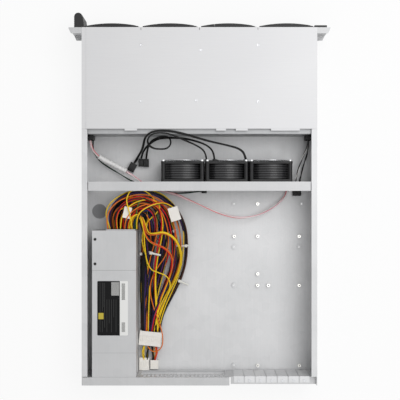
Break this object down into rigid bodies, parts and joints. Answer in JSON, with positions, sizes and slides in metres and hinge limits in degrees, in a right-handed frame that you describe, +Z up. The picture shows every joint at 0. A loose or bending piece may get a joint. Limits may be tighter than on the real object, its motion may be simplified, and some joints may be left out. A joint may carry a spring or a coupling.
{
  "type": "rackmount server case",
  "caption": "Rackmount server case with its rear lid off: hot-swap drive trays in front, a fan wall, a stacked power supply and an empty motherboard bay.",
  "frame": {"origin": "on the plane of the case's underside, under the middle of the whole object's box", "axes": "+Z up, -Y towards the front with the drive trays, +X to the left of someone who looks down with the front away from them"},
  "size_m": [0.4826, 0.6892, 0.0874],
  "materials": {
    "zinc_steel": "zinc-plated sheet, fine spangle",
    "cover_steel": "zinc-plated sheet, satin",
    "ear_steel": "light grey",
    "psu_steel": "satin plated sheet",
    "circuit_board": "solder mask",
    "black_socket": "moulded",
    "fan_plastic": "moulded",
    "guard_wire": "plated wire",
    "screw_steel": "plated",
    "standoff_brass": "turned, plated",
    "plug_rubber": "moulded",
    "pod_plastic": "satin moulded",
    "button_plastic": "moulded",
    "latch_plastic": "moulded",
    "tray_body": "moulded",
    "lever_plastic": "satin moulded",
    "psu_wire": "wire insulation",
    "white_nylon": "moulded",
    "fan_wire": "wire insulation",
    "panel_wire": "wire insulation",
    "black_nylon": "moulded"
  },
  "bodies": {
    "case": {"chassis_base": "zinc_steel", "hole_plug": "plug_rubber", "standoffs": "standoff_brass", "front_cover": "cover_steel", "drive_cage": "zinc_steel", "backplane": "circuit_board", "backplane_sockets": "black_socket", "fan_wall": "zinc_steel", "fan_guards": "guard_wire", "psu_housing": "zinc_steel", "rear_panel": "zinc_steel", "slot_covers": "zinc_steel", "rack_ear_left": "ear_steel", "rack_ear_right": "ear_steel", "control_pod": "pod_plastic", "ear_cover": "pod_plastic", "screws": "screw_steel", "psu_cable_bundle": "psu_wire", "psu_plugs": "white_nylon", "fan_cables": "fan_wire", "panel_cables": "panel_wire", "lead_plugs": "black_nylon", "fan_frame_1": "fan_plastic", "fan_frame_2": "fan_plastic", "fan_frame_3": "fan_plastic"},
    "tray_11": {"drive_tray_11": "tray_body"},
    "lever_11": {"tray_lever_11": "lever_plastic"},
    "tray_12": {"drive_tray_12": "tray_body"},
    "lever_12": {"tray_lever_12": "lever_plastic"},
    "tray_13": {"drive_tray_13": "tray_body"},
    "lever_13": {"tray_lever_13": "lever_plastic"},
    "tray_21": {"drive_tray_21": "tray_body"},
    "lever_21": {"tray_lever_21": "lever_plastic"},
    "tray_22": {"drive_tray_22": "tray_body"},
    "lever_22": {"tray_lever_22": "lever_plastic"},
    "tray_23": {"drive_tray_23": "tray_body"},
    "lever_23": {"tray_lever_23": "lever_plastic"},
    "tray_31": {"drive_tray_31": "tray_body"},
    "lever_31": {"tray_lever_31": "lever_plastic"},
    "tray_32": {"drive_tray_32": "tray_body"},
    "lever_32": {"tray_lever_32": "lever_plastic"},
    "tray_33": {"drive_tray_33": "tray_body"},
    "lever_33": {"tray_lever_33": "lever_plastic"},
    "tray_41": {"drive_tray_41": "tray_body"},
    "lever_41": {"tray_lever_41": "lever_plastic"},
    "tray_42": {"drive_tray_42": "tray_body"},
    "lever_42": {"tray_lever_42": "lever_plastic"},
    "tray_43": {"drive_tray_43": "tray_body"},
    "lever_43": {"tray_lever_43": "lever_plastic"},
    "rotor_1": {"fan_rotor_1": "fan_plastic"},
    "rotor_2": {"fan_rotor_2": "fan_plastic"},
    "rotor_3": {"fan_rotor_3": "fan_plastic"},
    "psu_lower": {"psu_module_lower": "psu_steel"},
    "psu_latch_lower": {"psu_latch_lower": "latch_plastic"},
    "psu_rotor_lower": {"psu_rotor_lower": "fan_plastic"},
    "psu_upper": {"psu_module_upper": "psu_steel"},
    "psu_latch_upper": {"psu_latch_upper": "latch_plastic"},
    "psu_rotor_upper": {"psu_rotor_upper": "fan_plastic"},
    "power_button": {"power_button": "button_plastic"},
    "reset_button": {"reset_button": "button_plastic"}
  },
  "joints": [
    {"name": "tray_slide_11", "type": "slide", "parent": "case", "child": "tray_11", "axis": [0, -1, 0], "range_m": [0, 0.17]},
    {"name": "lever_hinge_11", "type": "hinge", "parent": "tray_11", "child": "lever_11", "pos_m": [0.1139, -0.31395, 0.0154], "axis": [0, 0, -1], "range_deg": [0, 60]},
    {"name": "tray_slide_12", "type": "slide", "parent": "case", "child": "tray_12", "axis": [0, -1, 0], "range_m": [0, 0.17]},
    {"name": "lever_hinge_12", "type": "hinge", "parent": "tray_12", "child": "lever_12", "pos_m": [0.1139, -0.31395, 0.043], "axis": [0, 0, -1], "range_deg": [0, 60]},
    {"name": "tray_slide_13", "type": "slide", "parent": "case", "child": "tray_13", "axis": [0, -1, 0], "range_m": [0, 0.17]},
    {"name": "lever_hinge_13", "type": "hinge", "parent": "tray_13", "child": "lever_13", "pos_m": [0.1139, -0.31395, 0.0706], "axis": [0, 0, -1], "range_deg": [0, 60]},
    {"name": "tray_slide_21", "type": "slide", "parent": "case", "child": "tray_21", "axis": [0, -1, 0], "range_m": [0, 0.17]},
    {"name": "lever_hinge_21", "type": "hinge", "parent": "tray_21", "child": "lever_21", "pos_m": [0.0063, -0.31395, 0.0154], "axis": [0, 0, -1], "range_deg": [0, 60]},
    {"name": "tray_slide_22", "type": "slide", "parent": "case", "child": "tray_22", "axis": [0, -1, 0], "range_m": [0, 0.17]},
    {"name": "lever_hinge_22", "type": "hinge", "parent": "tray_22", "child": "lever_22", "pos_m": [0.0063, -0.31395, 0.043], "axis": [0, 0, -1], "range_deg": [0, 60]},
    {"name": "tray_slide_23", "type": "slide", "parent": "case", "child": "tray_23", "axis": [0, -1, 0], "range_m": [0, 0.17]},
    {"name": "lever_hinge_23", "type": "hinge", "parent": "tray_23", "child": "lever_23", "pos_m": [0.0063, -0.31395, 0.0706], "axis": [0, 0, -1], "range_deg": [0, 60]},
    {"name": "tray_slide_31", "type": "slide", "parent": "case", "child": "tray_31", "axis": [0, -1, 0], "range_m": [0, 0.17]},
    {"name": "lever_hinge_31", "type": "hinge", "parent": "tray_31", "child": "lever_31", "pos_m": [-0.1013, -0.31395, 0.0154], "axis": [0, 0, -1], "range_deg": [0, 60]},
    {"name": "tray_slide_32", "type": "slide", "parent": "case", "child": "tray_32", "axis": [0, -1, 0], "range_m": [0, 0.17]},
    {"name": "lever_hinge_32", "type": "hinge", "parent": "tray_32", "child": "lever_32", "pos_m": [-0.1013, -0.31395, 0.043], "axis": [0, 0, -1], "range_deg": [0, 60]},
    {"name": "tray_slide_33", "type": "slide", "parent": "case", "child": "tray_33", "axis": [0, -1, 0], "range_m": [0, 0.17]},
    {"name": "lever_hinge_33", "type": "hinge", "parent": "tray_33", "child": "lever_33", "pos_m": [-0.1013, -0.31395, 0.0706], "axis": [0, 0, -1], "range_deg": [0, 60]},
    {"name": "tray_slide_41", "type": "slide", "parent": "case", "child": "tray_41", "axis": [0, -1, 0], "range_m": [0, 0.17]},
    {"name": "lever_hinge_41", "type": "hinge", "parent": "tray_41", "child": "lever_41", "pos_m": [-0.2089, -0.31395, 0.0154], "axis": [0, 0, -1], "range_deg": [0, 60]},
    {"name": "tray_slide_42", "type": "slide", "parent": "case", "child": "tray_42", "axis": [0, -1, 0], "range_m": [0, 0.17]},
    {"name": "lever_hinge_42", "type": "hinge", "parent": "tray_42", "child": "lever_42", "pos_m": [-0.2089, -0.31395, 0.043], "axis": [0, 0, -1], "range_deg": [0, 60]},
    {"name": "tray_slide_43", "type": "slide", "parent": "case", "child": "tray_43", "axis": [0, -1, 0], "range_m": [0, 0.17]},
    {"name": "lever_hinge_43", "type": "hinge", "parent": "tray_43", "child": "lever_43", "pos_m": [-0.2089, -0.31395, 0.0706], "axis": [0, 0, -1], "range_deg": [0, 60]},
    {"name": "fan_spin_1", "type": "hinge", "parent": "case", "child": "rotor_1", "pos_m": [0.031, -0.05045, 0.0415], "axis": [0, 1, 0], "continuous": true},
    {"name": "fan_spin_2", "type": "hinge", "parent": "case", "child": "rotor_2", "pos_m": [-0.0506, -0.05045, 0.0415], "axis": [0, 1, 0], "continuous": true},
    {"name": "fan_spin_3", "type": "hinge", "parent": "case", "child": "rotor_3", "pos_m": [-0.1322, -0.05045, 0.0415], "axis": [0, 1, 0], "continuous": true},
    {"name": "psu_slide_lower", "type": "slide", "parent": "case", "child": "psu_lower", "axis": [0, 1, 0], "range_m": [0, 0.18]},
    {"name": "psu_latch_hinge_lower", "type": "hinge", "parent": "psu_lower", "child": "psu_latch_lower", "pos_m": [0.12295, 0.33325, 0.0305], "axis": [0, 0, -1], "range_deg": [0, 20], "stiffness_Nm_per_rad": 0.005},
    {"name": "psu_spin_lower", "type": "hinge", "parent": "psu_lower", "child": "psu_rotor_lower", "pos_m": [0.17445, 0.31925, 0.022], "axis": [0, 1, 0], "continuous": true},
    {"name": "psu_slide_upper", "type": "slide", "parent": "case", "child": "psu_upper", "axis": [0, 1, 0], "range_m": [0, 0.18]},
    {"name": "psu_latch_hinge_upper", "type": "hinge", "parent": "psu_upper", "child": "psu_latch_upper", "pos_m": [0.12295, 0.33325, 0.0712], "axis": [0, 0, -1], "range_deg": [0, 20], "stiffness_Nm_per_rad": 0.005},
    {"name": "psu_spin_upper", "type": "hinge", "parent": "psu_upper", "child": "psu_rotor_upper", "pos_m": [0.17445, 0.31925, 0.0627], "axis": [0, 1, 0], "continuous": true},
    {"name": "power_press", "type": "slide", "parent": "case", "child": "power_button", "axis": [0, 1, 0], "range_m": [0, 0.0012], "stiffness_N_per_m": 400, "springref_m": -0.0006},
    {"name": "reset_press", "type": "slide", "parent": "case", "child": "reset_button", "axis": [0, 1, 0], "range_m": [0, 0.0012], "stiffness_N_per_m": 400, "springref_m": -0.0006}
  ]
}
